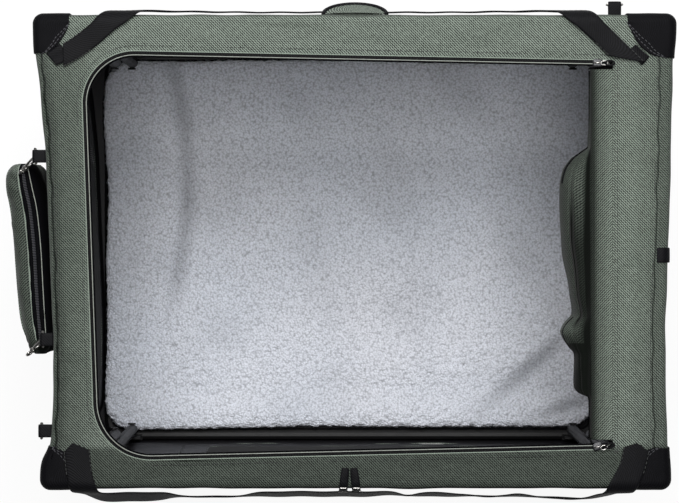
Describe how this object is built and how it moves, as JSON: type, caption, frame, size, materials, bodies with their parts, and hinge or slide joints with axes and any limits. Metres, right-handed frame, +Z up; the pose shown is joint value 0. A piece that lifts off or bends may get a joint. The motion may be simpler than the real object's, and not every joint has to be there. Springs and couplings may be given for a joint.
{
  "type": "soft folding dog crate",
  "caption": "Soft-sided folding dog crate on a steel tube frame, with zipped top and front doors, netting windows, carry straps, side pouch and fleece mat.",
  "frame": {"origin": "on the floor under the middle of the crate", "axes": "+X along the crate's length, towards the end where the top door is tucked in; +Y towards the back; +Z up"},
  "size_m": [0.645, 0.4939, 0.5394],
  "materials": {
    "green_polyester": "matt woven",
    "black_netting": "matt net",
    "black_polyester": "matt woven",
    "black_webbing": "matt woven",
    "black_zip": "satin",
    "grey_fleece": "soft pile",
    "black_powder_coat": "satin",
    "black_nylon": "satin",
    "nickel_plate": "bright"
  },
  "bodies": {
    "base": {"base_frame": "black_powder_coat", "base_bracket_left_front": "black_nylon", "base_bracket_left_back": "black_nylon", "base_bracket_right_front": "black_nylon", "base_bracket_right_back": "black_nylon", "floor_panel": "green_polyester", "front_wall": "green_polyester", "back_wall": "green_polyester", "left_wall": "green_polyester", "right_wall": "green_polyester", "left_window": "black_netting", "right_window": "black_netting", "fleece_mat": "grey_fleece", "left_front_foot_patch": "black_polyester", "right_front_foot_patch": "black_polyester", "right_back_foot_patch": "black_polyester", "left_back_foot_patch": "black_polyester"},
    "left_lower": {"left_lower_leg_front": "black_powder_coat", "left_lower_leg_back": "black_powder_coat"},
    "left_upper": {"left_upper_leg_front": "black_powder_coat", "left_upper_leg_back": "black_powder_coat"},
    "right_lower": {"right_lower_leg_front": "black_powder_coat", "right_lower_leg_back": "black_powder_coat"},
    "right_upper": {"right_upper_leg_front": "black_powder_coat", "right_upper_leg_back": "black_powder_coat"},
    "top": {"top_frame": "black_powder_coat", "top_bracket_left_front": "black_nylon", "top_bracket_left_back": "black_nylon", "top_bracket_right_front": "black_nylon", "top_bracket_right_back": "black_nylon", "top_panel": "green_polyester", "top_zip": "black_zip", "left_front_top_patch": "black_polyester", "right_front_top_patch": "black_polyester", "right_back_top_patch": "black_polyester", "left_back_top_patch": "black_polyester", "rear_grab_tab": "green_polyester", "pouch_back_tab": "black_webbing", "pouch_front_tab": "black_webbing", "left_front_tab": "black_webbing", "back_right_tab": "black_webbing", "right_side_loop": "black_webbing"},
    "front_door": {"front_door": "black_netting"},
    "top_door": {"top_door": "green_polyester"},
    "front_strap": {"front_carry_strap": "black_webbing"},
    "back_strap": {"back_carry_strap": "black_webbing"},
    "top_slider_back": {"top_slider_back": "nickel_plate"},
    "top_slider_front": {"top_slider_front": "nickel_plate"},
    "top_pull_back": {"top_pull_back": "nickel_plate"},
    "top_pull_front": {"top_pull_front": "nickel_plate"},
    "front_slider_left": {"front_slider_left": "nickel_plate"},
    "front_slider_right": {"front_slider_right": "nickel_plate"},
    "pouch": {"pouch": "green_polyester", "pouch_back_ring": "nickel_plate", "pouch_front_ring": "nickel_plate", "pouch_hook_back": "nickel_plate", "pouch_hook_front": "nickel_plate"},
    "left_front_ring": {"left_front_ring": "nickel_plate"},
    "back_right_ring": {"back_right_ring": "nickel_plate"}
  },
  "joints": [
    {"name": "frame_fold", "type": "hinge", "parent": "base", "child": "left_lower", "pos_m": [-0.255, 0, 0.0403], "axis": [0, 1, 0], "range_deg": [0, 80], "deforming": ["front_wall", "back_wall", "left_wall", "right_wall", "left_window", "right_window", "front_door"]},
    {"name": "left_knee", "type": "hinge", "parent": "left_lower", "child": "left_upper", "pos_m": [-0.255, 0, 0.2665], "axis": [0, 1, 0], "range_deg": [-160, 0]},
    {"name": "left_top_pivot", "type": "hinge", "parent": "left_upper", "child": "top", "pos_m": [-0.255, 0, 0.4927], "axis": [0, 1, 0], "range_deg": [0, 80]},
    {"name": "right_base_pivot", "type": "hinge", "parent": "base", "child": "right_lower", "pos_m": [0.255, 0, 0.0403], "axis": [0, 1, 0], "range_deg": [-80, 0]},
    {"name": "right_knee", "type": "hinge", "parent": "right_lower", "child": "right_upper", "pos_m": [0.255, 0, 0.2665], "axis": [0, 1, 0], "range_deg": [0, 160]},
    {"name": "front_door_opens", "type": "hinge", "parent": "base", "child": "front_door", "pos_m": [0, -0.2285, 0.055], "axis": [1, 0, 0], "range_deg": [0, 98]},
    {"name": "top_door_swing", "type": "hinge", "parent": "top", "child": "top_door", "pos_m": [0.248, 0, 0.533], "axis": [0, 1, 0], "range_deg": [0, 110]},
    {"name": "front_strap_swing", "type": "hinge", "parent": "top", "child": "front_strap", "pos_m": [0, -0.18078, 0.5353], "axis": [-1, 0, 0], "range_deg": [0, 72]},
    {"name": "back_strap_swing", "type": "hinge", "parent": "top", "child": "back_strap", "pos_m": [0, 0.17478, 0.5353], "axis": [1, 0, 0], "range_deg": [0, 72]},
    {"name": "top_zip_run_back", "type": "slide", "parent": "top", "child": "top_slider_back", "axis": [-0.9998, 0.0195, 0], "range_m": [0, 0.4]},
    {"name": "top_pull_flip_back", "type": "hinge", "parent": "top_slider_back", "child": "top_pull_back", "pos_m": [0.23595, 0.18133, 0.5374], "axis": [-0.0195, -0.9998, 0], "range_deg": [0, 170]},
    {"name": "top_zip_run_front", "type": "slide", "parent": "top", "child": "top_slider_front", "axis": [-0.9997, -0.0235, 0], "range_m": [0, 0.4]},
    {"name": "top_pull_flip_front", "type": "hinge", "parent": "top_slider_front", "child": "top_pull_front", "pos_m": [0.23594, -0.18718, 0.5374], "axis": [0.0235, -0.9997, 0], "range_deg": [0, 170]},
    {"name": "front_zip_run_left", "type": "slide", "parent": "top", "child": "front_slider_left", "axis": [-1, 0, 0], "range_m": [0, 0.11]},
    {"name": "front_zip_run_right", "type": "slide", "parent": "top", "child": "front_slider_right", "axis": [1, 0, 0], "range_m": [0, 0.11]},
    {"name": "pouch_swing", "type": "hinge", "parent": "top", "child": "pouch", "pos_m": [-0.30897, 0.0921, 0.52], "axis": [-0.0409, 0.9992, 0], "range_deg": [0, 75]},
    {"name": "left_front_ring_swing", "type": "hinge", "parent": "top", "child": "left_front_ring", "pos_m": [-0.3031, -0.1734, 0.52], "axis": [0, 1, 0], "range_deg": [-30, 120]},
    {"name": "back_right_ring_swing", "type": "hinge", "parent": "top", "child": "back_right_ring", "pos_m": [0.251, 0.2388, 0.52], "axis": [1, 0, 0], "range_deg": [-30, 120]}
  ],
  "couplings": [
    {"joint": "left_knee", "follows": "frame_fold", "ratio": -2},
    {"joint": "left_top_pivot", "follows": "frame_fold", "ratio": 1},
    {"joint": "right_base_pivot", "follows": "frame_fold", "ratio": -1},
    {"joint": "right_knee", "follows": "frame_fold", "ratio": 2}
  ]
}
